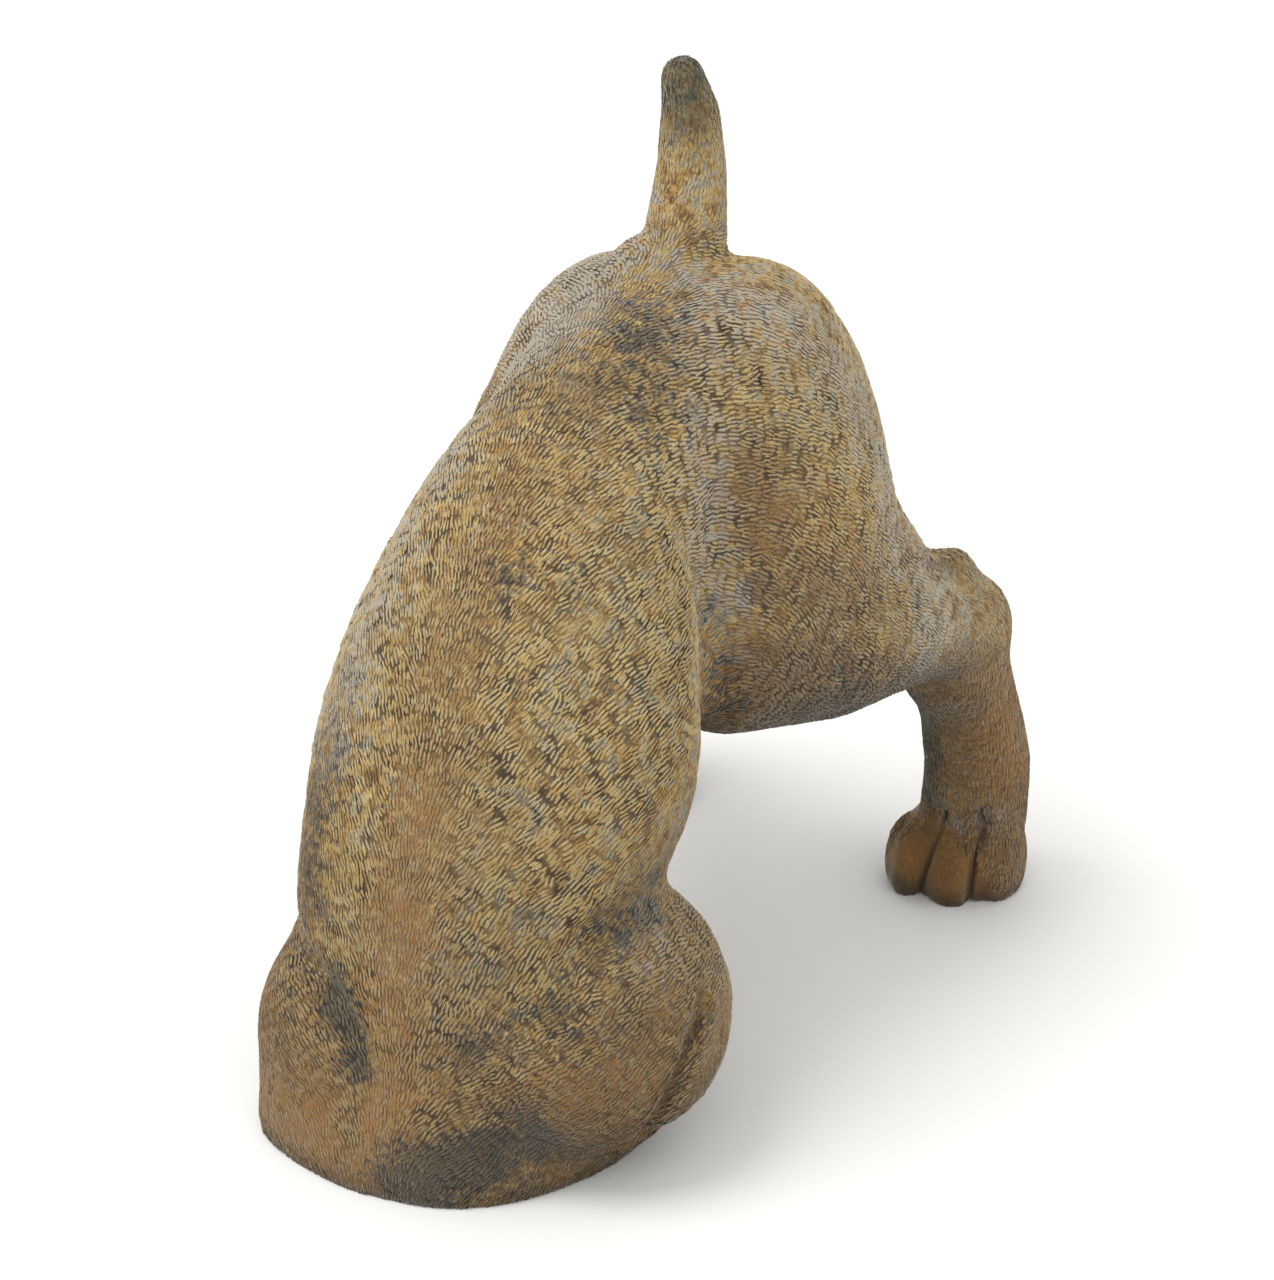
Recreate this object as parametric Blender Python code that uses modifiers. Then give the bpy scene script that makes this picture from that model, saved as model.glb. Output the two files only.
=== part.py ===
"""A cast concrete garden statue of a puppy digging, its head and forelegs out of sight in the ground."""

import math

import bmesh
import bpy
import numpy as np
from mathutils import Matrix, Vector

HEIGHT = 0.46  # ground to tail tip
MM = HEIGHT / 460  # places and sizes of the figure below are counted in this share of its height

BODY_CELL = 4.0  # grid that the large forms are fused on
BODY_SOFTENING = 30  # passes that soften them into each other
DETAIL_CELL = 2.6  # grid that the toes, hocks and tail are fused on
DETAIL_SOFTENING = 3
SMOOTHING = 0.5  # how far a pass moves each point towards its neighbours
FACETS = 10200  # faces left in the skin before it is cut off at the ground

OVAL_SIDES = 48
BALL_SIDES = 32
BALL_RINGS = 20
ROW_STEPS = 6  # smooth steps from one row of a table to the next
CREASE_ANGLE = math.radians(50)

CONCRETE_COLOUR = (0.26, 0.17, 0.075, 1.0)
CONCRETE_ROUGHNESS = 0.85

# Trunk sections from the buried neck to the rump: centre across, back and up, half width, half depth
TRUNK = (
    (-1, -5, -40, 76, 92),
    (-1, -5, 0, 79, 95),
    (-3, -7, 50, 84, 86),
    (-3, -19, 112, 83, 61),
    (-1, 13, 172, 91, 72),
    (0, 30, 218, 84, 64),
    (0, 62, 266, 68, 58),
    (0, 108, 297, 55, 54),
    (0, 150, 312, 50, 50),
    (0, 180, 314, 34, 42),
)

# Thigh sections from below the knee to the top of the rump: centre out, back and up, half width, half depth
THIGH = (
    (66, 146, 166, 16, 34),
    (65, 146, 184, 38, 66),
    (62, 150, 206, 47, 78),
    (56, 160, 232, 51, 83),
    (48, 169, 262, 53, 82),
    (37, 174, 300, 49, 79),
    (31, 174, 336, 38, 60),
    (29, 172, 355, 24, 38),
    (28, 171, 364, 10, 16),
)
HIP_LEAN = {1: (0, 2), -1: (6, -5)}  # how far a thigh's top leans out and up, left 1 and right -1

# Limbs, each a row of joints: out, back, up and radius
KNEE_TO_HOCK = ((62, 104, 198, 35), (82, 166, 188, 38), (98, 234, 174, 30))
HAMSTRING = ((62, 196, 230, 42), (92, 236, 180, 28))
SHANK = (
    (98, 238, 174, 27), (104, 278, 158, 30), (102, 279, 136, 29), (105, 292, 118, 26), (110, 303, 72, 28),
    (108, 304, 34, 29),
)
TENDON = ((99, 232, 205, 9), (104, 271, 190, 11), (104, 282, 163, 22))
RIGHT_FORELEG = ((50, -38, 36, 47), (44, -46, 0, 50), (16, -52, -4, 51))
TAIL = ((1, 168, 342, 27), (1, 175, 366, 20), (1, 181, 404, 16.5), (1, 179, 432, 13.5), (0, 173, 450, 10))

# Balls, each a centre out, back and up and its half width, half length and half height
LEFT_SHOULDER = (((54, -6, 66), (65, 68, 67)), ((76, 22, 64), (32, 38, 32)))
RIGHT_SHOULDER = (((52, -38, 46), (45, 50, 54)), ((66, 24, 44), (40, 44, 50)))
PAW = (
    ((104, 304, 20), (32, 36, 29)),
    ((78, 292, 11), (11, 19, 25)),
    ((86, 285, 10), (12, 20, 28)),
    ((109, 286, 10), (15, 20, 31)),
    ((128, 301, 14), (11, 20, 27)),
)
CROUP = (((0, 164, 345), (30, 29, 25)), ((-13, 164, 356), (20, 22, 21)))

# Furrows carved into the fused skin: points on it, half width, depth. A negative depth raises a ridge.
SPINE_RIDGE = (
    ((0, 140, 362), (0, 104, 352), (0, 68, 337), (0, 31, 315), (0, 3, 288), (0, -19, 258), (0, -38, 228)),
    20, -2.5,
)
SHOULDER_VALLEYS = (
    # over the left shoulder
    (((92, 6, 138), (88, -16, 134), (80, -34, 131), (70, -46, 124)), 11, 4.5),
    # behind the left shoulder, before the elbow
    (((112, 0, 94), (113, -14, 82), (112, -26, 64), (107, -33, 44), (98, -34, 26)), 9, 6.0),
    # under the left shoulder, where it draws in to the ground
    (((102, 32, 20), (104, 4, 20), (98, -24, 18), (86, -50, 10)), 17, 12.0),
    # beside the neck and down the right foreleg
    (
        ((-78, -40, 100), (-62, -62, 93), (-42, -75, 86), (-28, -82, 74), (-18, -87, 58), (-13, -91, 40)),
        12, 5.0,
    ),
)
# One side's, mirrored for the other
PAIRED_FURROWS = (
    # between loin and thigh
    (((33, 88, 336), (46, 77, 320), (61, 63, 293), (69, 66, 265), (73, 77, 222), (69, 83, 174)), 15, 3.0),
    # the hollow under the hock's tendon
    (((110, 236, 190), (115, 252, 189), (117, 264, 186)), 6, 3.0),
    # between the toes
    (((97, 282, 50), (96, 271, 34), (94, 266, 16), (93, 266, -4)), 5, 5.5),
    (((122, 284, 52), (124, 275, 34), (124, 272, 16), (124, 273, -4)), 5, 5.5),
    (((80, 292, 46), (77, 283, 34), (76, 278, 16), (76, 278, -4)), 4, 3.5),
)
FURROW_STEPS = 4  # straight pieces from one point of a furrow to the next
FURROW_ENDS = (0.25, 6)  # share of the depth at a furrow's ends, and how fast it grows along its length


def clear_scene():
    for obj in list(bpy.data.objects):
        bpy.data.objects.remove(obj)


def mirrored(points, side):
    """The points of the left side, or for side -1 the same on the right; what follows x stays."""
    return [(side * x, *rest) for x, *rest in points]


def ball(clay, centre, radii):
    """An ellipsoid form, made on its own and added to the clay."""
    place = Matrix.Translation(Vector(centre) * MM) @ Matrix.Diagonal((*[r * MM for r in radii], 1))
    piece = bmesh.new()
    bmesh.ops.create_uvsphere(piece, u_segments=BALL_SIDES, v_segments=BALL_RINGS, radius=1, matrix=place)
    mesh = bpy.data.meshes.new("ball")
    piece.to_mesh(mesh)
    piece.free()
    clay.from_mesh(mesh)
    bpy.data.meshes.remove(mesh)


def balls(clay, rows, side):
    for centre, radii in rows:
        ball(clay, (side * centre[0], *centre[1:]), radii)


def limb(clay, joints):
    """A tapering limb through its joints: balls joined by cones."""
    for x, y, z, radius in joints:
        ball(clay, (x, y, z), (radius,) * 3)
    for (*a, radius_a), (*b, radius_b) in zip(joints, joints[1:]):
        start, end = Vector(a) * MM, Vector(b) * MM
        along = end - start
        turn = along.to_track_quat("Z", "Y").to_matrix().to_4x4()
        bmesh.ops.create_cone(
            clay, cap_ends=True, segments=BALL_SIDES, radius1=radius_a * MM, radius2=radius_b * MM,
            depth=along.length, matrix=Matrix.Translation((start + end) / 2) @ turn,
        )


def eased(rows, steps):
    """The same rows with more between them, on a smooth curve through each column."""
    rows = np.array(rows, float)
    last = len(rows) - 1
    smooth = []
    for at in np.linspace(0, last, last * steps + 1):
        i = min(int(at), last - 1)
        t = at - i
        a, b, c, d = (rows[min(max(k, 0), last)] for k in (i - 1, i, i + 1, i + 2))
        bend = (2 * a - 5 * b + 4 * c - d) * t ** 2 + (3 * b - a - 3 * c + d) * t ** 3
        smooth.append((2 * b + (c - a) * t + bend) / 2)
    return smooth


def loft(clay, sections):
    """One smooth form through oval sections, each a centre and its two half axes."""
    turns = [math.tau * s / OVAL_SIDES for s in range(OVAL_SIDES)]
    rings = [
        [clay.verts.new(centre + across * math.sin(t) - outward * math.cos(t)) for t in turns]
        for centre, across, outward in sections
    ]
    for low, high in zip(rings, rings[1:]):
        for s in range(OVAL_SIDES):
            t = (s + 1) % OVAL_SIDES
            clay.faces.new((low[s], low[t], high[t], high[s]))
    clay.faces.new(rings[0][::-1])
    clay.faces.new(rings[-1])


def trunk(clay):
    """The neck, chest, belly and loin, with each section square to the spine."""
    rows = eased(TRUNK, ROW_STEPS)
    centres = [Vector(row[:3]) * MM for row in rows]
    across = Vector((1, 0, 0))
    sections = []
    for i, (*_, half_width, half_depth) in enumerate(rows):
        along = centres[min(i + 1, len(centres) - 1)] - centres[max(i - 1, 0)]
        outward = across.cross(along).normalized()
        sections.append((centres[i], across * half_width * MM, outward * half_depth * MM))
    loft(clay, sections)


def hindquarter(clay, side):
    """The thigh, the folded leg under it and the shank down to the paw."""
    across, back = Vector((MM, 0, 0)), Vector((0, MM, 0))
    rows = eased(THIGH, ROW_STEPS)
    knee, top = rows[0][2], rows[-1][2]
    sections = []
    for x, y, z, half_width, half_depth in rows:
        out, up = (lean * (z - knee) / (top - knee) for lean in HIP_LEAN[side])
        centre = Vector((side * (x + out), y, z + up)) * MM
        sections.append((centre, across * half_width, back * half_depth))
    loft(clay, sections)
    for joints in (KNEE_TO_HOCK, HAMSTRING, SHANK):
        limb(clay, mirrored(joints, side))


def large_forms():
    """The masses of the body, which are softened into each other."""
    clay = bmesh.new()
    trunk(clay)
    hindquarter(clay, 1)
    hindquarter(clay, -1)
    balls(clay, CROUP, 1)
    balls(clay, LEFT_SHOULDER, 1)
    balls(clay, RIGHT_SHOULDER, -1)
    limb(clay, mirrored(RIGHT_FORELEG, -1))
    return clay


def small_forms():
    """The forms that stay crisp."""
    clay = bmesh.new()
    limb(clay, TAIL)
    for side in (1, -1):
        limb(clay, mirrored(TENDON, side))
        balls(clay, PAW, side)
    return clay


def evaluated(mesh, *modifiers):
    """The mesh as it comes out of the modifiers, each given as its type and settings."""
    lump = bpy.data.objects.new("lump", mesh)
    bpy.context.scene.collection.objects.link(lump)
    for kind, settings in modifiers:
        modifier = lump.modifiers.new(kind.lower(), kind)
        for name, value in settings.items():
            setattr(modifier, name, value)
    graph = bpy.context.evaluated_depsgraph_get()
    result = bpy.data.meshes.new_from_object(lump.evaluated_get(graph))
    bpy.data.objects.remove(lump)
    bpy.data.meshes.remove(mesh)
    return result


def fused(clay, cell, passes):
    """The clay's overlapping forms as one skin, softened."""
    mesh = bpy.data.meshes.new("clay")
    clay.to_mesh(mesh)
    clay.free()
    return evaluated(
        mesh,
        ("REMESH", {"mode": "VOXEL", "voxel_size": cell * MM}),
        ("SMOOTH", {"factor": SMOOTHING, "iterations": passes}),
    )


def pressed_in(skin, path, half_width, depth):
    """How far each point of the skin is pressed in by a round furrow along the path, fading at its ends."""
    points = np.array(eased(path, FURROW_STEPS)) * MM
    nearest = np.full(len(skin), np.inf)
    share = np.zeros(len(skin))
    for i, (a, b) in enumerate(zip(points, points[1:])):
        along = b - a
        t = np.clip((skin - a) @ along / (along @ along), 0, 1)
        gap = np.linalg.norm(skin - (a + t[:, None] * along), axis=1)
        closer = gap < nearest
        nearest[closer] = gap[closer]
        share[closer] = ((i + t) / (len(points) - 1))[closer]
    start, growth = FURROW_ENDS
    fall = np.clip(1 - (nearest / (half_width * MM)) ** 2, 0, 1) ** 2
    fade = np.clip(start + growth * np.minimum(share, 1 - share), 0, 1)
    return depth * MM * fall * fade


def carve(mesh, furrows):
    """Presses the furrows into the mesh along its normals."""
    skin = np.empty(len(mesh.vertices) * 3, np.float32)
    outward = np.empty_like(skin)
    mesh.vertices.foreach_get("co", skin)
    mesh.vertices.foreach_get("normal", outward)
    skin = skin.reshape(-1, 3)
    outward = outward.reshape(-1, 3)
    for path, half_width, depth in furrows:
        skin -= outward * pressed_in(skin, path, half_width, depth)[:, None]
    mesh.vertices.foreach_set("co", skin.ravel())
    mesh.update()


def cut_at_ground(cast):
    """Takes away what is below the ground and closes the underside flat."""
    everything = cast.verts[:] + cast.edges[:] + cast.faces[:]
    made = bmesh.ops.bisect_plane(
        cast, geom=everything, plane_co=(0, 0, 0), plane_no=(0, 0, -1), clear_outer=True,
    )
    rim = [e for e in made["geom_cut"] if isinstance(e, bmesh.types.BMEdge)]
    bmesh.ops.holes_fill(cast, edges=rim)
    bmesh.ops.recalc_face_normals(cast, faces=cast.faces)


def figure():
    """The whole figure as one mesh, standing on z = 0 with the middle of its footprint at the origin."""
    body = fused(large_forms(), BODY_CELL, BODY_SOFTENING)
    clay = small_forms()
    clay.from_mesh(body)
    bpy.data.meshes.remove(body)
    skin = fused(clay, DETAIL_CELL, DETAIL_SOFTENING)
    paired = [(mirrored(path, side), *size) for path, *size in PAIRED_FURROWS for side in (1, -1)]
    carve(skin, (SPINE_RIDGE, *SHOULDER_VALLEYS, *paired))
    triangles = sum(len(p.vertices) - 2 for p in skin.polygons)
    skin = evaluated(skin, ("DECIMATE", {"ratio": FACETS / triangles}))
    cast = bmesh.new()
    cast.from_mesh(skin)
    cut_at_ground(cast)
    corners = np.array([v.co for v in cast.verts])
    middle = (corners.min(axis=0) + corners.max(axis=0)) / 2
    bmesh.ops.translate(cast, verts=cast.verts, vec=(-middle[0], -middle[1], 0))
    cast.to_mesh(skin)
    cast.free()
    return skin


def concrete():
    material = bpy.data.materials.new("stained_concrete")
    material.use_nodes = True
    shader = material.node_tree.nodes["Principled BSDF"]
    shader.inputs["Base Color"].default_value = CONCRETE_COLOUR
    shader.inputs["Roughness"].default_value = CONCRETE_ROUGHNESS
    shader.inputs["Metallic"].default_value = 0.0
    return material


def main():
    clear_scene()
    statue = bpy.data.collections.new("digging_dog_statue")
    bpy.context.scene.collection.children.link(statue)
    mesh = figure()
    mesh.name = "dog_statue"
    mesh.materials.append(concrete())
    mesh.shade_smooth()
    mesh.set_sharp_from_angle(angle=CREASE_ANGLE)
    statue.objects.link(bpy.data.objects.new("dog_statue", mesh))


main()
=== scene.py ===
"""The looks of a cast concrete garden statue of a puppy digging: carved coat, stains, painted shade and
highlights, and worn ridges.
"""

import math

import bmesh
import bpy
import numpy as np
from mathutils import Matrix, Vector, kdtree, noise


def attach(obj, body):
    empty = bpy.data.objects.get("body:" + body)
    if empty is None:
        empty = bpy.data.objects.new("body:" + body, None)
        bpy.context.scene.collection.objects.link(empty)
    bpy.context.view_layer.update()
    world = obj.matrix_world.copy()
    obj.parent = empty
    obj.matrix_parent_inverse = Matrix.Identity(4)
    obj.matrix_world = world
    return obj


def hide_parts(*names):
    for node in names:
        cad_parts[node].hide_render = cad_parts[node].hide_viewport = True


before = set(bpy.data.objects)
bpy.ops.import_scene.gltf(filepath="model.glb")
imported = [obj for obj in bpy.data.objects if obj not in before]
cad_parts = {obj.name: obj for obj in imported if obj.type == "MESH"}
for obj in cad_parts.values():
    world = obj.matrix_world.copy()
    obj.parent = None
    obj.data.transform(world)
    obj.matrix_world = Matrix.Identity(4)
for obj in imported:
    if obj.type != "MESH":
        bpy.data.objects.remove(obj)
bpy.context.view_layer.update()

MM = 0.001
STATUE = "dog_statue"

# The camera, as the photograph was taken
CAMERA_TURN = math.radians(30)  # from the buried head's end round to the dog's left
CAMERA_RISE = math.radians(25)
CAMERA_DISTANCE = 1.5
CAMERA_AIM = (0, -29, 200)  # mm
FOCAL_LENGTH = 90.5
SENSOR_WIDTH = 36
CAMERA_SHIFT = 45 / 1274  # share of the picture's width

# The skin that the hair is cut in
SKIN_CELL = 1.35  # mm
SKIN_SOFTENING = 22  # passes that take the solid's facets out
SKIN_TRIANGLES = 190000
GROUND_BAND = 1.0  # mm above the ground that are pressed flat onto it
DOUBLES = 0.001  # mm; closer points are merged
UNEVENNESS = ((26, 0.45), (9, 0.18))  # hand-worked unevenness: its size and how far it stands out, mm

# The hair, cut as tufts of strokes side by side
STROKES = 3  # in a tuft
TUFT_SHAPES = 4
CANDIDATES = 300000
APART = (0.42, 0.5)  # tufts' least distance along and across the hair, as a share of their length and width
STROKE_WIDTH = 1.15  # as a share of the pitch
BURIED = -0.25  # how far a stroke goes under the skin, as a share of its depth
SHALLOWEST = 0.12  # mm; shallower hair isn't cut at all
DEPTH_VARIES = (22, 0.6)  # the size of the patches of deeper and shallower hair, mm, and how much it varies
DRIFT = 0.14  # radians that tufts stray from the way the hair was combed
SIZE_SPREAD = ((0.75, 0.85, 0.6), (1.35, 1.15, 1.3))  # times the comb's length, width and depth
COAT_SEED = 11
COAT_PIECES = ("coat_low", "coat_middle", "coat_high", "coat_top")
LOWEST_HAIR = 2.0  # mm above the ground

# Up the middle of the back, from the neck to the loin, in mm
SPINE = (
    (0, -214, 10), (0, -205, 80), (0, -192, 128), (0, -174, 192), (0, -138, 258), (0, -88, 315),
    (0, -51, 337),
)

# How the coat was combed, in mm: a path on the skin, how far the hair turns away from it to the sides,
# how far the path reaches, the hair's length, the pitch of its strokes and how deep it is cut.
# Paths off the middle count on both sides.
COMB = (
    # up the spine, from the neck to the tail
    ((*SPINE, (0, -15, 352)), 0.5, 17, 8.0, 1.7, 0.22),
    # the flank, out, back and up in rows
    (((14, -206, 62), (43, -184, 134), (65, -160, 163), (83, -131, 189), (87, -103, 202)),
     0.0, 22, 11.0, 2.0, 1.0),
    (((28, -184, 154), (51, -162, 190), (69, -132, 220), (78, -78, 238)), 0.0, 22, 11.0, 2.0, 1.0),
    (((9, -167, 210), (30, -143, 243), (48, -114, 269), (60, -82, 284), (63, -42, 288)),
     0.0, 22, 10.5, 2.0, 1.0),
    (((4, -142, 256), (20, -117, 283), (35, -92, 301), (47, -59, 313), (53, -25, 314)),
     0.0, 20, 10.0, 2.0, 0.95),
    (((84, -128, 140), (90, -100, 165), (86, -62, 195), (80, -40, 220)), 0.0, 22, 9.0, 1.8, 0.3),
    # the loin and the top of the rump, out and back
    (((0, -109, 299), (13, -80, 320), (26, -50, 332), (40, -20, 334), (53, 4, 333)),
     0.0, 18, 9.5, 2.1, 0.95),
    (((1, -76, 326), (7, -34, 347), (18, 2, 354), (38, 22, 356), (59, 41, 347)), 0.0, 16, 9.0, 2.1, 0.8),
    (((8, 11, 359), (11, 34, 363), (35, 47, 363), (54, 60, 353)), 0.0, 16, 8.0, 1.9, 0.5),
    # the rump, from the tail out and down behind
    (((14, 52, 364), (34, 68, 345), (48, 92, 300), (56, 108, 250), (70, 118, 214)), 0.2, 20, 8.5, 1.9, 0.75),
    # the thigh, back and then down in rows
    (((61, -11, 306), (76, 10, 302), (91, 43, 287), (99, 71, 261)), 0.0, 20, 9.0, 2.1, 0.85),
    (((68, -22, 273), (85, -5, 268), (100, 16, 250), (108, 55, 218), (120, 77, 195)),
     0.0, 20, 9.0, 2.1, 0.8),
    (((75, -30, 243), (91, -20, 230), (102, -6, 207), (110, 21, 180)), 0.0, 18, 9.0, 2.0, 0.7),
    (((82, -36, 217), (93, -28, 199), (96, -2, 173)), 0.0, 18, 8.5, 2.0, 0.6),
    # the hock and the shank
    (((118, 58, 198), (123, 83, 184), (122, 123, 156)), 0.0, 16, 7.5, 1.8, 0.45),
    (((121, 121, 189), (121, 147, 135), (124, 158, 86), (125, 161, 56)), 0.0, 22, 8.5, 1.8, 0.32),
    (((84, 130, 180), (84, 150, 120), (86, 158, 60)), 0.0, 20, 8.5, 1.8, 0.25),
    # the paw, forward over the toes
    (((104, 186, 50), (104, 168, 42), (104, 152, 24), (104, 146, 8)), 0.3, 18, 5.0, 1.8, 0.02),
    # the tail
    (((0, 50, 384), (0, 58, 404), (0, 58, 430), (0, 54, 455)), 0.0, 22, 6.5, 1.7, 0.16),
    # the shoulder, out, back and up
    (((20, -207, 37), (48, -193, 64), (77, -181, 93), (94, -150, 112), (93, -103, 113)),
     0.0, 20, 9.0, 1.95, 0.85),
    (((56, -190, 17), (87, -181, 55), (106, -161, 81), (109, -122, 92)), 0.0, 18, 8.0, 1.8, 0.45),
    # the chest and belly
    (((0, -52, 50), (0, -32, 120), (0, 20, 190), (0, 70, 225)), 0.2, 26, 6.0, 2.0, 0.3),
)
TURNED_FULLY = 30  # mm from its path where the hair has turned away all it does

# Lines cut crisply into the skin, in mm: points on it, half width, depth, and how dark its inside is
# painted:
# painted shade, with some dirt
CLEFTS = (
    # between the toes
    (((105, 160, 52), (103, 155, 42), (100, 151, 30), (95, 151, 6), (93, 152, -6)), 2.6, 2.6, 1.0),
    (((123, 164, 56), (123, 161, 44), (122, 159, 32), (121, 157, 15), (120, 157, -6)), 2.6, 2.6, 1.0),
    # the hollow under the ledge of the hock
    (((109, 106, 212), (109, 130, 200), (111, 141, 193)), 3.5, 2.2, 0.35),
)
HOCK_LEDGE = (((107, 98, 219), (107, 116, 212), (107, 139, 202)), 3.0, -1.6)  # a negative depth is a ridge
FORESHORTENED = (1, 0.3, 1)  # a cleft counts at the depth where the skin lies behind it
CLEFT_DARKENED = 0.6  # the share of a cleft's half width painted dark with shade and dirt
# On the left shoulder only
ELBOW_GROOVE = (
    (113, -129, 81), (112, -136, 76), (111, -141, 70), (110, -145, 60), (108, -147, 52), (104, -149, 41),
)
ELBOW_CUT = (2.8, 1.6)  # its half width and depth

# Stains, painted shade, painted highlights and rubbed places, in mm: kind, points of the middle line, reach,
# amount, and whether on both sides.
# The sides are the dog's: its left is +x.
PATCHES = (
    ("dirt", ((-36, -194, 88), (-31, -197, 76)), 12, 1.5, False),
    ("dirt", ((-30, -197, 72), (-22, -203, 54)), 8, 1.4, False),
    ("dirt", ((-60, -178, 96), (-40, -194, 92)), 8, 0.6, False),
    ("dirt", ((10, -213, 10), (36, -204, 22), (58, -190, 36)), 16, 1.35, False),
    ("dirt", ((84, -122, 130), (78, -147, 126), (78, -157, 120)), 12, 0.55, False),
    ("dirt", ((40, -196, 78), (56, -190, 92), (70, -176, 100)), 12, 0.55, False),
    ("dirt", ((18, -124, 274), (36, -116, 270)), 14, 0.35, False),
    ("dirt", ((12, 0, 356), (22, -24, 345), (34, -34, 330)), 20, 0.4, False),
    ("dirt", ((70, -44, 235), (76, -44, 210), (78, -40, 190)), 9, 0.3, True),
    ("dirt", ((97, 16, 180), (100, 60, 163)), 20, 0.4, True),
    ("dirt", ((-64, -174, 130), (-66, -166, 168), (-62, -154, 205)), 18, 0.3, False),
    # painted shade and dirt deep in the elbow's groove
    ("cleft", ELBOW_GROOVE, 1.5, 0.5, False),
    ("moss_and_shade", ELBOW_GROOVE, 7, 0.35, False),
    # dark green on the inner side of the shank: partly dirt, partly painted shade where it turns from the
    # light
    ("moss_and_shade", ((76, 140, 160), (84, 152, 110), (86, 160, 60)), 16, 1.0, True),
    ("moss_and_shade", ((0, 58, 434), (0, 54, 466)), 16, 1.05, False),
    ("moss_and_shade", ((92, 140, 4), (70, 160, 4), (76, 190, 6)), 10, 0.8, True),
    # pale bloom: partly dust, partly a painted highlight along the rims and tops that catch the light
    ("bloom_and_highlight", ((-36, -6, 340), (-42, 34, 344), (-30, 62, 350)), 36, 1.15, False),
    ("bloom_and_highlight", ((0, 44, 376), (0, 56, 398)), 18, 0.25, False),
    ("bloom_and_highlight", ((90, -112, 158), (87, -72, 192), (78, -42, 230)), 9, 0.3, True),
    ("bloom_and_highlight", ((25, 17, 358), (40, 0, 342), (49, -12, 324), (57, -26, 301), (62, -38, 277), (65, -39, 249),
               (70, -41, 221)), 15, 0.55, True),
    ("bloom_and_highlight", ((34, 20, 362), (58, 52, 336), (78, 70, 300), (90, 84, 256)), 24, 0.8, True),
    ("bloom_and_highlight", ((106, 166, 50), (120, 172, 50)), 12, 0.4, True),
    ("bloom_and_highlight", ((96, 76, 240), (108, 100, 210), (118, 108, 190), (122, 84, 184)), 18, 0.85, True),
    ("bloom_and_highlight", ((94, -122, 128), (100, -140, 118)), 14, 0.45, True),
    ("bloom_and_highlight", ((-94, -136, 108), (-88, -156, 104)), 12, 0.4, False),
    ("bloom_and_highlight", ((-44, -70, 308), (-50, -98, 286), (-58, -118, 258), (-60, -140, 225), (-62, -156, 196)),
     22, 0.65, False),
    ("brown", SPINE[1:], 20, 0.35, False),
    # the underside of the thigh: a brown stain that is partly painted shade from the light above
    ("brown", ((84, -20, 200), (98, 26, 176), (102, 80, 152)), 30, 1.3, True),
    ("brown", ((74, -6, 290), (82, -14, 262), (92, -6, 240), (104, 36, 222)), 24, 0.8, True),
    ("brown", ((104, 160, 20), (112, 186, 60), (112, 176, 120)), 34, 0.85, True),
    ("brown", ((60, -190, 40), (88, -172, 66), (96, -150, 92)), 34, 0.6, True),
    ("brown", ((-66, -176, 110), (-70, -168, 170)), 26, 0.7, False),
    ("brown", ((16, -60, 330), (26, -20, 345), (30, 20, 356)), 26, 0.6, True),
    ("orange", ((0, -214, 8), (0, -209, 50), (-4, -202, 96)), 20, 0.6, False),
    ("orange", ((-70, -180, 10), (-40, -205, 14), (-20, -210, 10)), 26, 0.4, False),
    ("orange", ((30, -206, 60), (66, -190, 60), (96, -164, 50)), 26, 0.4, False),
    ("orange", ((128, 160, 20), (104, 150, 20), (80, 158, 20)), 14, 0.25, True),
    ("orange", ((126, 150, 130), (128, 166, 80)), 22, 0.85, True),
    ("orange", ((0, -190, 130), (0, -150, 240), (10, -96, 305)), 22, 0.35, False),
    ("orange", ((88, -10, 285), (104, 40, 235)), 24, 0.35, True),
    # worn smooth: the right shoulder and round the foot of the neck
    ("rubbed", ((-84, -150, 84), (-76, -178, 50), (-50, -204, 14)), 28, 0.8, False),
    ("rubbed", ((-58, -184, 118), (-66, -166, 170), (-58, -150, 214)), 26, 0.5, False),
    ("rubbed", ((90, -112, 158), (87, -72, 192), (78, -42, 230)), 12, 0.5, True),
)
PATCH_FADE = 1.6  # a patch has faded out at this many times its reach
PATCH_KINDS = ("dirt", "moss_and_shade", "bloom_and_highlight", "brown", "orange", "rubbed", "cleft")
SOIL_AND_SHADE_HEIGHT = 240 * MM  # how far up from the ground the concrete is darkened


def linear(hex_colour):
    """A colour given as sRGB hex, in the linear values that a shader takes."""
    parts = [int(hex_colour[i:i + 2], 16) / 255 for i in (1, 3, 5)]
    return (*[c / 12.92 if c <= 0.04045 else ((c + 0.055) / 1.055) ** 2.4 for c in parts], 1.0)


def add(tree, kind, inputs=(), out=0, **settings):
    """Adds a node with its settings and gives one of its outputs.

    Its inputs, in order or by name, are values, sRGB hex or outputs to link.
    """
    node = tree.nodes.new(kind)
    for name, value in settings.items():
        setattr(node, name, value)
    for key, value in inputs.items() if isinstance(inputs, dict) else enumerate(inputs):
        if isinstance(value, bpy.types.NodeSocket):
            tree.links.new(value, node.inputs[key])
        else:
            node.inputs[key].default_value = linear(value) if str(value).startswith("#") else value
    return node.outputs[out] if node.outputs else None


def eased(points, steps=4):
    """The same points with more between them, on a smooth curve through them."""
    points = np.array(points, float)
    last = len(points) - 1
    smooth = []
    for at in np.linspace(0, last, last * steps + 1):
        i = min(int(at), last - 1)
        t = at - i
        a, b, c, d = (points[min(max(k, 0), last)] for k in (i - 1, i, i + 1, i + 2))
        bend = (2 * a - 5 * b + 4 * c - d) * t ** 2 + (3 * b - a - 3 * c + d) * t ** 3
        smooth.append((2 * b + (c - a) * t + bend) / 2)
    return np.array(smooth)


def mirrored(points):
    return tuple((-x, y, z) for x, y, z in points)


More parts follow.
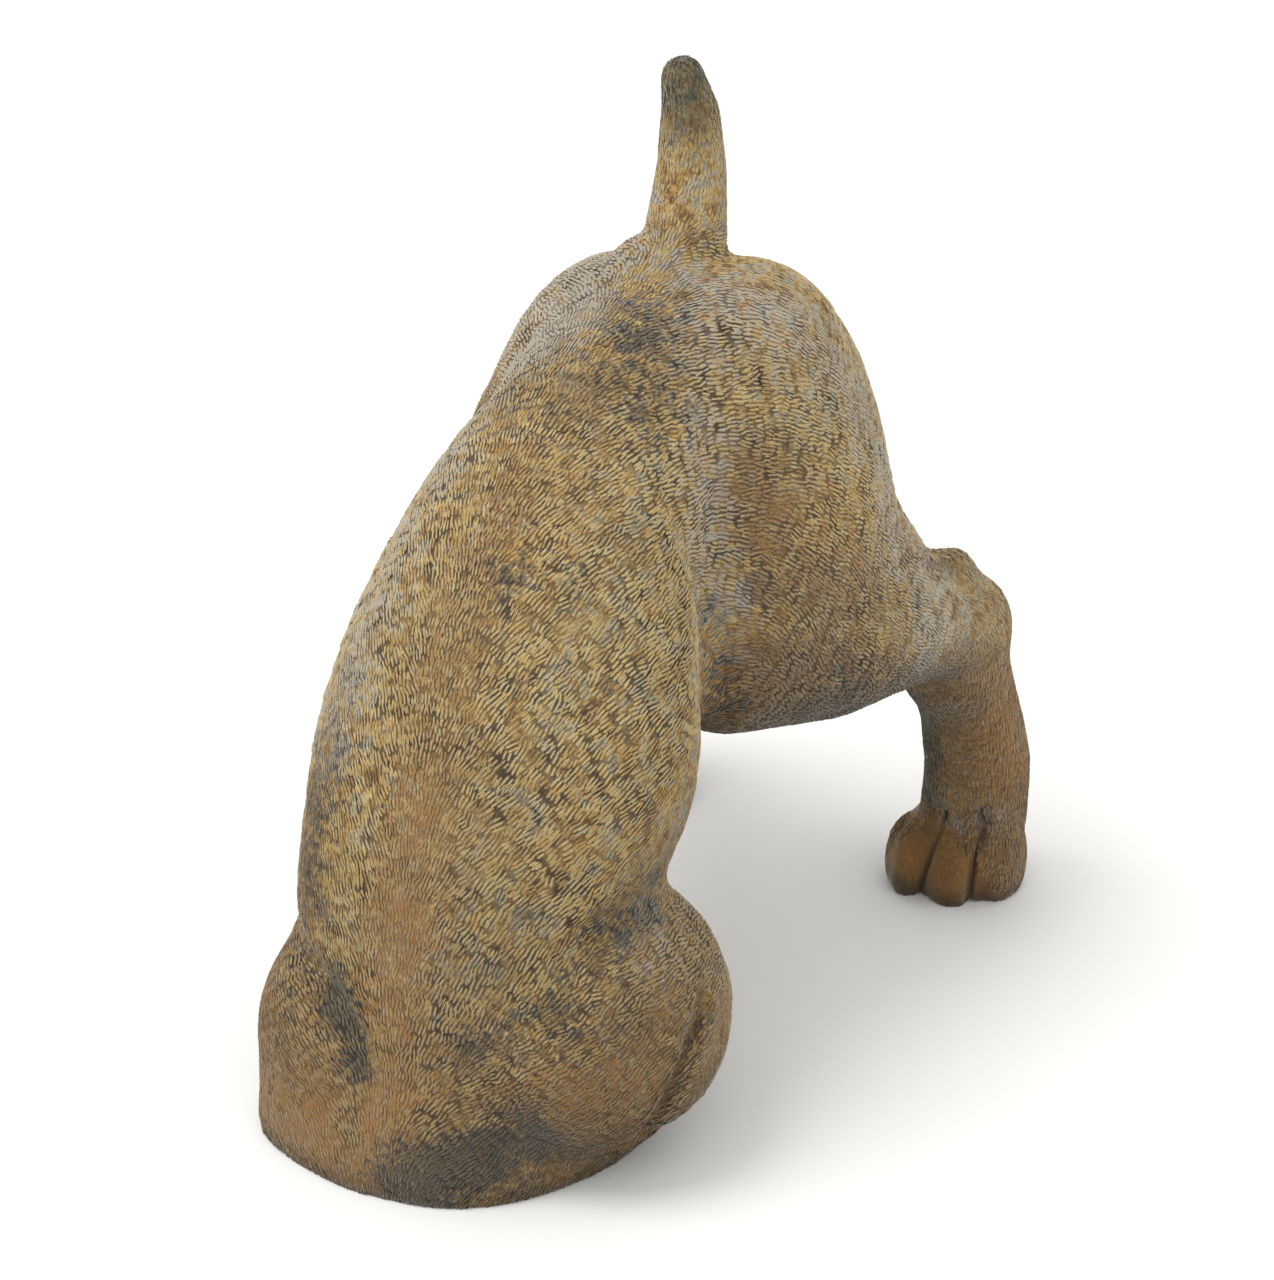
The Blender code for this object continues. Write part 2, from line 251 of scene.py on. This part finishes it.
def follow(places, path):
    """For places in mm: the distance to the path, the share of it passed, its direction and the way out."""
    points = eased(path)
    nearest = np.full(len(places), np.inf)
    share = np.zeros(len(places))
    along = np.zeros_like(places)
    out = np.zeros_like(places)
    for i, (a, b) in enumerate(zip(points, points[1:])):
        step = b - a
        t = np.clip((places - a) @ step / (step @ step), 0, 1)
        off = places - (a + t[:, None] * step)
        gap = np.linalg.norm(off, axis=1)
        closer = gap < nearest
        nearest[closer] = gap[closer]
        share[closer] = ((i + t) / (len(points) - 1))[closer]
        along[closer] = step / np.linalg.norm(step)
        out[closer] = off[closer]
    return nearest, share, along, out / (nearest[:, None] + 1e-6)


def combed(places, normals):
    """The hair at places in mm: which way it lies on the skin, and its length, pitch and depth."""
    total = np.zeros((len(places), 1))
    way = np.zeros_like(places)
    hair = np.zeros_like(places)
    for path, spread, reach, length, pitch, depth in COMB:
        both = (path,) if all(x == 0 for x, _, _ in path) else (path, mirrored(path))
        for one in both:
            gap, _, along, out = follow(places, one)
            weight = (1 / (1 + (gap / reach) ** 3) ** 2)[:, None]
            total += weight
            way += (along + out * (spread * np.clip(gap / TURNED_FULLY, 0, 1))[:, None]) * weight
            hair += np.array((length, pitch, depth)) * weight
    way -= normals * np.sum(way * normals, axis=1)[:, None]
    way /= np.linalg.norm(way, axis=1)[:, None] + 1e-9
    return way, hair / total


def patch_amounts(places):
    """How much of each kind of stain, painted shade and painted highlight is at places in mm."""
    amounts = {kind: np.zeros(len(places)) for kind in PATCH_KINDS}
    clefts = [("cleft", path, half_width * CLEFT_DARKENED, dark, True) for path, half_width, _, dark in CLEFTS]
    for kind, path, reach, amount, both in (*PATCHES, *clefts):
        depth = FORESHORTENED if kind == "cleft" else (1, 1, 1)
        for one in (path, mirrored(path)) if both else (path,):
            gap = follow(places * depth, np.multiply(one, depth))[0]
            here = amount * np.clip(1 - (gap / (reach * PATCH_FADE)) ** 2, 0, 1) ** 2
            amounts[kind] = np.maximum(amounts[kind], here)
    return amounts


def new_object(name, mesh):
    obj = bpy.data.objects.new(name, mesh)
    bpy.context.scene.collection.objects.link(obj)
    return obj


def evaluated(mesh, *modifiers):
    """The mesh as it comes out of the modifiers, each given as its type and settings."""
    lump = new_object("lump", mesh)
    for kind, settings in modifiers:
        modifier = lump.modifiers.new(kind.lower(), kind)
        for name, value in settings.items():
            setattr(modifier, name, value)
    graph = bpy.context.evaluated_depsgraph_get()
    result = bpy.data.meshes.new_from_object(lump.evaluated_get(graph))
    bpy.data.objects.remove(lump)
    bpy.data.meshes.remove(mesh)
    return result


def corners_and_normals(mesh):
    """The mesh's points in mm and the way out at each."""
    places = np.empty(len(mesh.vertices) * 3, np.float32)
    normals = np.empty_like(places)
    mesh.vertices.foreach_get("co", places)
    mesh.vertices.foreach_get("normal", normals)
    return places.reshape(-1, 3).astype(float) / MM, normals.reshape(-1, 3).astype(float)


def move_corners(mesh, places):
    mesh.vertices.foreach_set("co", (places * MM).astype(np.float32).ravel())
    mesh.update()


def store(mesh, name, values, kind="FLOAT"):
    """Keeps a value for each point of the mesh, for its material or its hair."""
    layer = mesh.attributes.new(name, kind, "POINT")
    layer.data.foreach_set("value" if kind == "FLOAT" else "vector", np.asarray(values, np.float32).ravel())


def press(places, normals, path, half_width, depth):
    """Presses a V-shaped line into the skin, fading at its ends."""
    gap, share, _, _ = follow(places * FORESHORTENED, np.multiply(path, FORESHORTENED))
    fall = np.clip(1 - gap / half_width, 0, 1)
    fade = np.clip(np.minimum(share, 1 - share) * 8 + 0.3, 0, 1)
    places -= normals * (depth * fall * fade)[:, None]


def statue_skin():
    """The solid's form as a fine skin: facets smoothed out, clefts cut crisp, a little uneven as cast."""
    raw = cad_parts[STATUE].data.copy()
    shell = bmesh.new()
    shell.from_mesh(raw)
    bmesh.ops.remove_doubles(shell, verts=shell.verts, dist=DOUBLES * MM)
    shell.to_mesh(raw)
    shell.free()
    raw.materials.clear()
    skin = evaluated(
        raw,
        ("REMESH", {"mode": "VOXEL", "voxel_size": SKIN_CELL * MM}),
        ("SMOOTH", {"factor": 0.5, "iterations": SKIN_SOFTENING}),
    )
    places, normals = corners_and_normals(skin)
    for path, half_width, depth, *_ in (*CLEFTS, HOCK_LEDGE):
        press(places, normals, path, half_width, depth)
        press(places, normals, mirrored(path), half_width, depth)
    press(places, normals, ELBOW_GROOVE, *ELBOW_CUT)
    for size, height in UNEVENNESS:
        lumps = np.array([noise.noise(Vector(p) / size) for p in places])
        places += normals * (lumps * height)[:, None]
    places[:, 2] = np.where(places[:, 2] < GROUND_BAND, 0, places[:, 2])
    move_corners(skin, places)
    triangles = sum(len(p.vertices) - 2 for p in skin.polygons)
    return evaluated(skin, ("DECIMATE", {"ratio": min(1, SKIN_TRIANGLES / triangles)}))


def dressed(skin):
    """Works out the hair, stains, painted shade and highlights at each skin point; keeps what its material
    reads.
    """
    places, normals = corners_and_normals(skin)
    way, hair = combed(places, normals)
    amounts = patch_amounts(places)
    patch, share = DEPTH_VARIES
    deeper = np.array([1 + share * noise.noise(Vector(p) / patch) for p in places])
    hair[:, 2] *= deeper * (1 - amounts["rubbed"]) * (1 - np.clip(2 * amounts["cleft"], 0, 1))
    # Painted shade: faces that look down are painted darker, the more the further they face down
    amounts["under"] = np.clip((0.15 - normals[:, 2]) / 1.1, 0, 1)  # the more, the further it faces down
    # The skin counts as low between strokes where they are deep, and as half a ridge where they are shallow
    store(skin, "crest", 0.6 - 0.28 * np.clip(hair[:, 2] / 0.5, 0, 1))
    store(skin, "tone", np.full(len(places), 0.5))
    store(skin, "carving", hair[:, 2])
    for kind, amount in amounts.items():
        store(skin, kind, amount)
    return np.column_stack((places, normals, way, hair, *amounts.values()))


def scattered(skin, fields):
    """Where the tufts of hair go, spread over the skin further apart along the hair than beside it.

    A row of the fields is a place, the way out, the way of the hair, its length, pitch and depth, and
    how much there is of each stain, painted shade and painted highlight.
    """
    rng = np.random.default_rng(COAT_SEED)
    skin.calc_loop_triangles()
    corners = np.empty(len(skin.loop_triangles) * 3, np.int32)
    skin.loop_triangles.foreach_get("vertices", corners)
    corners = corners.reshape(-1, 3)
    a, b, c = (fields[corners[:, k], :3] for k in range(3))
    area = np.linalg.norm(np.cross(b - a, c - a), axis=1)
    picked = rng.choice(len(corners), CANDIDATES, p=area / area.sum())
    u, v = rng.random((2, CANDIDATES))
    u, v = np.where(u + v > 1, 1 - u, u), np.where(u + v > 1, 1 - v, v)
    shares = np.stack((1 - u - v, u, v), axis=1)[:, :, None]
    spots = (fields[corners[picked]] * shares).sum(axis=1)
    spots = spots[(spots[:, 2] > LOWEST_HAIR) & (spots[:, 11] > SHALLOWEST)]
    for first in (3, 6):
        spots[:, first:first + 3] /= np.linalg.norm(spots[:, first:first + 3], axis=1)[:, None] + 1e-9
    at, way = spots[:, :3], spots[:, 6:9]
    reach = spots[:, 9:11] * APART * (1, STROKES)

    tree = kdtree.KDTree(len(spots))
    for i, spot in enumerate(at):
        tree.insert(spot, i)
    tree.balance()
    free = np.ones(len(spots), bool)
    kept = []
    for i in range(len(spots)):
        if not free[i]:
            continue
        kept.append(i)
        along, across = reach[i]
        near = np.array([j for _, j, _ in tree.find_range(at[i], max(along, across))])
        off = at[near] - at[i]
        forward = off @ way[i]
        beside = np.linalg.norm(off - forward[:, None] * way[i], axis=1)
        free[near[(forward / along) ** 2 + (beside / across) ** 2 < 1]] = False
    return spots[kept], rng


def tuft(name, rng):
    """Strokes of carved hair side by side, in all a unit long, wide and high: bent leaves with a ridge."""
    bend, wave = rng.uniform(-0.1, 0.1), rng.uniform(-0.06, 0.06)
    shape = bmesh.new()
    crest = []
    for k in range(STROKES):
        middle = (k + 0.5) / STROKES - 0.5
        half = STROKE_WIDTH / STROKES / 2
        start, end = rng.uniform(-0.5, -0.22), rng.uniform(0.22, 0.5)
        high = rng.uniform(0.75, 1.0)

        def corner(along, aside, up):
            x = start + (end - start) * along
            y = middle + half * aside + bend * (4 * x * x - 0.5) + wave * math.sin(math.tau * x)
            return shape.verts.new((x, y, up))

        outline = ((0, 0), (0.3, 1), (0.68, 0.9), (1, 0), (0.68, -0.9), (0.3, -1))
        rim = [corner(along, aside, BURIED) for along, aside in outline]
        low, top = corner(0.26, 0, 0.85 * high), corner(0.7, 0, high)
        for corners in (
            (rim[0], rim[1], low), (rim[1], rim[2], top, low), (rim[2], rim[3], top),
            (rim[3], rim[4], top), (rim[4], rim[5], low, top), (rim[5], rim[0], low), rim,
        ):
            shape.faces.new(corners)
        crest += [0.0] * len(rim) + [1.0, 1.0]
    bmesh.ops.recalc_face_normals(shape, faces=shape.faces)
    mesh = bpy.data.meshes.new(name)
    shape.to_mesh(mesh)
    shape.free()
    store(mesh, "crest", crest)
    return new_object(name, mesh)


TUFT_SETTING = ("out_of_skin", "way_of_hair", "tuft_size")  # what each tuft's point says of how it is set


def coat_tree():
    """Sets tufts on points, each turned with its Z out of the skin and its X the way the hair lies."""
    tree = bpy.data.node_groups.new("carved_coat", "GeometryNodeTree")
    face = tree.interface
    face.new_socket("Points", in_out="INPUT", socket_type="NodeSocketGeometry")
    names = [f"Tuft {k}" for k in range(TUFT_SHAPES)]
    for name in names:
        face.new_socket(name, in_out="INPUT", socket_type="NodeSocketObject")
    face.new_socket("Seed", in_out="INPUT", socket_type="NodeSocketInt")
    face.new_socket("Material", in_out="INPUT", socket_type="NodeSocketMaterial")
    face.new_socket("Coat", in_out="OUTPUT", socket_type="NodeSocketGeometry")
    given = add(tree, "NodeGroupInput").node.outputs
    shapes = add(tree, "GeometryNodeJoinGeometry")
    for name in names:
        shape = add(tree, "GeometryNodeObjectInfo", {"Object": given[name], "As Instance": True}, "Geometry")
        tree.links.new(shape, shapes.node.inputs["Geometry"])
    out, way, size = (
        add(tree, "GeometryNodeInputNamedAttribute", {"Name": name}, "Attribute", data_type="FLOAT_VECTOR")
        for name in TUFT_SETTING
    )
    turn = add(
        tree, "FunctionNodeAxesToRotation", {"Primary Axis": out, "Secondary Axis": way},
        primary_axis="Z", secondary_axis="X",
    )
    which = add(
        tree, "FunctionNodeRandomValue", {"Min": 0, "Max": TUFT_SHAPES - 1, "Seed": given["Seed"]}, 2,
        data_type="INT",
    )
    tufts = add(tree, "GeometryNodeInstanceOnPoints", {
        "Points": given["Points"], "Instance": shapes, "Pick Instance": True, "Instance Index": which,
        "Rotation": turn, "Scale": size,
    })
    real = add(tree, "GeometryNodeRealizeInstances", {"Geometry": tufts})
    finish = add(tree, "GeometryNodeSetMaterial", {"Geometry": real, "Material": given["Material"]})
    add(tree, "NodeGroupOutput", {"Coat": finish})
    return tree


def with_nodes(points, tree, inputs):
    """The plain mesh that a Geometry Nodes tree makes of a mesh of points."""
    lump = new_object("lump", points)
    modifier = lump.modifiers.new("nodes", "NODES")
    modifier.node_group = tree
    sockets = {s.name: s.identifier for s in tree.interface.items_tree if s.in_out == "INPUT"}
    for name, value in inputs.items():
        modifier[sockets[name]] = value
    graph = bpy.context.evaluated_depsgraph_get()
    result = bpy.data.meshes.new_from_object(lump.evaluated_get(graph))
    bpy.data.objects.remove(lump)
    return result


def carved_coat(skin, fields, material):
    """The hair, a piece for each quarter of the tufts from the ground up."""
    spots, rng = scattered(skin, fields)
    at, out, way, hair, amounts = np.split(spots, (3, 6, 9, 12), axis=1)
    drift = rng.normal(0, DRIFT, len(spots))
    side = np.cross(out, way)
    way = way * np.cos(drift)[:, None] + side * np.sin(drift)[:, None]
    sizes = hair * (1, STROKES, 1) * rng.uniform(*SIZE_SPREAD, hair.shape)
    tone = rng.random(len(spots))
    tree = coat_tree()
    shapes = [tuft(f"tuft_{k}", rng) for k in range(TUFT_SHAPES)]
    pieces = []
    order = np.argsort(at[:, 2])
    for name, part in zip(COAT_PIECES, np.array_split(order, len(COAT_PIECES))):
        points = bpy.data.meshes.new(name)
        points.vertices.add(len(part))
        move_corners(points, at[part])
        store(points, "out_of_skin", out[part], "FLOAT_VECTOR")
        store(points, "way_of_hair", way[part], "FLOAT_VECTOR")
        store(points, "tuft_size", sizes[part] * MM, "FLOAT_VECTOR")
        store(points, "tone", tone[part])
        store(points, "carving", hair[part, 2])
        for kind, amount in zip((*PATCH_KINDS, "under"), amounts.T):
            store(points, kind, amount[part])
        inputs = {f"Tuft {k}": shape for k, shape in enumerate(shapes)}
        mesh = with_nodes(points, tree, {**inputs, "Seed": COAT_SEED, "Material": material})
        for spare in TUFT_SETTING:
            if spare in mesh.attributes:
                mesh.attributes.remove(mesh.attributes[spare])
        places, _ = corners_and_normals(mesh)
        places[:, 2] = np.maximum(places[:, 2], 0)
        move_corners(mesh, places)
        mesh.shade_smooth()
        pieces.append(new_object(name, mesh))
    for shape in shapes:
        bpy.data.objects.remove(shape)
    return pieces


# The stains, painted shade and painted highlights in the order they are laid on, by kind: colour, the most
# of it that shows, how far the noise breaks its edge, and the share of it that shows in the cuts and on the
# ridges.
EARLY_STAINS_AND_SHADE = (
    # brown: a stain, partly painted shade under the thigh
    ("brown", "#5E3F1C", 0.9, 1.6, 1.0, 1.0),
    ("orange", "#986A30", 0.65, 3.0, 1.0, 1.0),
)
LATE_STAINS_SHADE_AND_HIGHLIGHT = (
    # pale bloom: partly dust, partly a painted highlight along the rims
    ("bloom_and_highlight", "#AEA89C", 0.85, 2.4, 0.35, 1.0),
    # painted shade on the faces that look down
    ("under", "#3A2C1C", 1.0, 0.3, 1.0, 1.0),
    # dark green: moss and dirt, with painted shade inside the shank
    ("moss_and_shade", "#3F3D2A", 0.9, 0.8, 1.0, 1.0),
    ("dirt", "#363633", 1.0, 2.3, 1.0, 0.65),
)
# The paint's colours, from its browner places through ochre to where the grey concrete shows through
PAINT = (
    (0.0, "#664C28"), (0.2, "#956E36"), (0.42, "#B69250"), (0.6, "#C0A870"), (0.8, "#A3977C"),
    (1.0, "#807969"),
)


def stained_concrete():
    """Cast concrete, painted ochre, then wiped with a dark wash that stayed in the cuts; matt and dusty,
    with painted shade and highlights.
    """
    material = bpy.data.materials.new("stained_cast_concrete")
    material.use_nodes = True
    tree = material.node_tree
    shader = tree.nodes["Principled BSDF"]
    place = add(tree, "ShaderNodeTexCoord", out="Object")
    crest, tone, carving, cleft = (
        add(tree, "ShaderNodeAttribute", out="Fac", attribute_name=name)
        for name in ("crest", "tone", "carving", "cleft")
    )
    # Noise by the size of its lumps in mm, each moved aside so that they don't line up. Real sand grains
    # are finer: 0.9 mm is the least that shows.
    broad, middling, small, tiny, grain, filled = (
        add(tree, "ShaderNodeTexNoise", {
            "Vector": add(tree, "ShaderNodeVectorMath", (place, (k, 3 * k, 5 * k))),
            "Scale": 1 / (size * MM), "Detail": detail, "Roughness": 0.6,
        }, "Fac")
        for k, (size, detail) in enumerate(((60, 3), (16, 3), (5, 2), (2.2, 3), (0.9, 2), (9, 3)))
    )
    # About nought, up and down: it breaks the edges of the stains
    ragged = -1.5
    for part in (small, middling, tiny):
        ragged = add(tree, "ShaderNodeMath", (part, ragged))

    # The paint, mottled all over and from tuft to tuft
    mottle = 0.0
    for part, weight in ((small, 0.42), (middling, 0.4), (tone, 0.18)):
        mottle = add(tree, "ShaderNodeMath", (part, weight, mottle), operation="MULTIPLY_ADD")
    colour = add(tree, "ShaderNodeValToRGB", (add(tree, "ShaderNodeMapRange", (mottle, 0.35, 0.65)),))
    stops = colour.node.color_ramp.elements
    while len(stops) < len(PAINT):
        stops.new(0.5)
    for stop, (at, shade) in zip(stops, PAINT):
        stop.position = at
        stop.color = linear(shade)
    dull = add(tree, "ShaderNodeMapRange", (broad, 0.4, 0.62, 0, 0.35))
    colour = add(tree, "ShaderNodeMix", {0: dull, 6: colour, 7: "#8C7850"}, 2, data_type="RGBA")

    # Darker towards the ground, thickest low down: partly soil splashed up, partly painted shade from the
    # light above
    height = add(tree, "ShaderNodeSeparateXYZ", (place,), "Z")
    soil_and_shade = 1.0
    for measure in ((height, 0, SOIL_AND_SHADE_HEIGHT, 0.78, 0.0), (ragged, -0.4, 0.4, 0.6, 1.2)):
        within = add(tree, "ShaderNodeMapRange", measure)
        soil_and_shade = add(tree, "ShaderNodeMath", (soil_and_shade, within), operation="MULTIPLY")
    colour = add(tree, "ShaderNodeMix", {0: soil_and_shade, 6: colour, 7: "#5C4020"}, 2, data_type="RGBA")

    def stained(colour, kind, shade, most, broken, in_cuts, on_ridges):
        """Lays on one kind of stain, painted shade or painted highlight where the piece's attribute of that
        name puts it.
        """
        amount = add(tree, "ShaderNodeAttribute", out="Fac", attribute_name=kind)
        edge = add(tree, "ShaderNodeMath", (ragged, broken, amount), operation="MULTIPLY_ADD")
        share = most
        for measure in ((edge, 0.05, 0.9), (amount, 0, 0.15), (crest, 0.25, 0.85, in_cuts, on_ridges)):
            within = add(tree, "ShaderNodeMapRange", measure)
            share = add(tree, "ShaderNodeMath", (share, within), operation="MULTIPLY")
        return add(tree, "ShaderNodeMix", {0: share, 6: colour, 7: shade}, 2, data_type="RGBA")

    for stain in EARLY_STAINS_AND_SHADE:
        colour = stained(colour, *stain)

    # Ridges rubbed pale, most of all where the cuts beside them are clear of paint
    ridge = 1.0
    for measure in (
        (crest, 0.55, 1.0), (carving, 0.2, 0.9, 0, 0.5), (filled, 0.4, 0.62, 1.0, 0.35),
        (soil_and_shade, 0.1, 0.8, 1.0, 0.4),
    ):
        within = add(tree, "ShaderNodeMapRange", measure)
        ridge = add(tree, "ShaderNodeMath", (ridge, within), operation="MULTIPLY")
    colour = add(tree, "ShaderNodeMix", {0: ridge, 6: colour, 7: "#E0D2A0"}, 2, data_type="RGBA")

    for stain in LATE_STAINS_SHADE_AND_HIGHLIGHT:
        colour = stained(colour, *stain)
    # Darker still in the lowest 12 mm, up to a ragged line
    low_band_height = add(tree, "ShaderNodeMath", (ragged, -12 * MM, height), operation="MULTIPLY_ADD")
    low_band = add(tree, "ShaderNodeMapRange", (low_band_height, 0, 12 * MM, 0.6, 0.0))
    colour = add(tree, "ShaderNodeMix", {0: low_band, 6: colour, 7: "#33281A"}, 2, data_type="RGBA")

    # The dark wash that stayed in the cuts, less where paint filled them
    clear = add(tree, "ShaderNodeMath", (filled, 1.3, -0.65), operation="MULTIPLY_ADD")
    worn = add(tree, "ShaderNodeMath", (crest, clear))
    wash = 1.0
    for measure in ((worn, 0.16, 0.62, 1.0, 0.0), (carving, 0.15, 0.85, 0.2, 0.9)):
        within = add(tree, "ShaderNodeMapRange", measure)
        wash = add(tree, "ShaderNodeMath", (wash, within), operation="MULTIPLY")
    colour = add(tree, "ShaderNodeMix", {0: wash, 6: colour, 7: "#2E271B"}, 2, data_type="RGBA")
    # Painted shade, with some dirt, near black deep in the clefts
    colour = add(tree, "ShaderNodeMix", {0: cleft, 6: colour, 7: "#1E1811"}, 2, data_type="RGBA")
    speckle = add(tree, "ShaderNodeMapRange", (grain, 0.3, 0.7, 0.82, 1.12))
    colour = add(tree, "ShaderNodeHueSaturation", {"Color": colour, "Value": speckle})
    tree.links.new(colour, shader.inputs["Base Color"])

    grit = add(tree, "ShaderNodeMath", (grain, small))
    bump = add(tree, "ShaderNodeBump", {"Height": grit, "Distance": 0.25 * MM, "Strength": 0.6})
    tree.links.new(bump, shader.inputs["Normal"])
    # Matt, with a dusty pale bloom at grazing angles
    shader.inputs["Roughness"].default_value = 0.78
    shader.inputs["Specular IOR Level"].default_value = 0.4
    shader.inputs["Sheen Weight"].default_value = 0.45
    shader.inputs["Sheen Roughness"].default_value = 0.4
    shader.inputs["Sheen Tint"].default_value = linear("#ECE8DE")
    return material


def camera():
    lens = bpy.data.cameras.new("camera")
    lens.sensor_fit = "HORIZONTAL"
    lens.sensor_width = SENSOR_WIDTH
    lens.lens = FOCAL_LENGTH
    lens.shift_x = CAMERA_SHIFT
    lens.clip_end = 50
    viewer = new_object("camera", lens)
    back = Vector((
        math.sin(CAMERA_TURN) * math.cos(CAMERA_RISE),
        -math.cos(CAMERA_TURN) * math.cos(CAMERA_RISE),
        math.sin(CAMERA_RISE),
    ))
    viewer.location = Vector(CAMERA_AIM) * MM + back * CAMERA_DISTANCE
    viewer.rotation_euler = (-back).to_track_quat("-Z", "Y").to_euler()
    bpy.context.scene.camera = viewer


def area_light(name, place, size, power):
    lamp = bpy.data.lights.new(name, "AREA")
    lamp.shape = "DISK"
    lamp.size = size
    lamp.energy = power
    light = new_object(name, lamp)
    light.location = place
    light.rotation_euler = (Vector((0, 0, 0.2)) - Vector(place)).to_track_quat("-Z", "Y").to_euler()


def studio():
    """A pale floor under even white light, a little stronger from above and in front."""
    half = 4.0
    mesh = bpy.data.meshes.new("floor")
    corners = [(-half, -half, 0), (half, -half, 0), (half, half, 0), (-half, half, 0)]
    mesh.from_pydata(corners, [], [(0, 1, 2, 3)])
    paint = bpy.data.materials.new("pale_floor")
    paint.use_nodes = True
    shader = paint.node_tree.nodes["Principled BSDF"]
    shader.inputs["Base Color"].default_value = linear("#FAFAF8")
    shader.inputs["Roughness"].default_value = 0.9
    mesh.materials.append(paint)
    floor = new_object("floor", mesh)

    sky = bpy.data.worlds.new("studio")
    sky.use_nodes = True
    sky.node_tree.nodes["Background"].inputs["Color"].default_value = (1, 1, 1, 1)
    sky.node_tree.nodes["Background"].inputs["Strength"].default_value = 0.95
    bpy.context.scene.world = sky
    area_light("key", (-0.8, -1.0, 2.6), 1.4, 30)
    bpy.context.scene.view_settings.view_transform = "Standard"


camera()
studio()
concrete = stained_concrete()
skin = statue_skin()
coat = carved_coat(skin, dressed(skin), concrete)
skin.materials.append(concrete)
skin.shade_smooth()
body = new_object("statue_skin", skin)

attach(body, "root")
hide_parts(STATUE)
for piece in coat:
    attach(piece, "root")
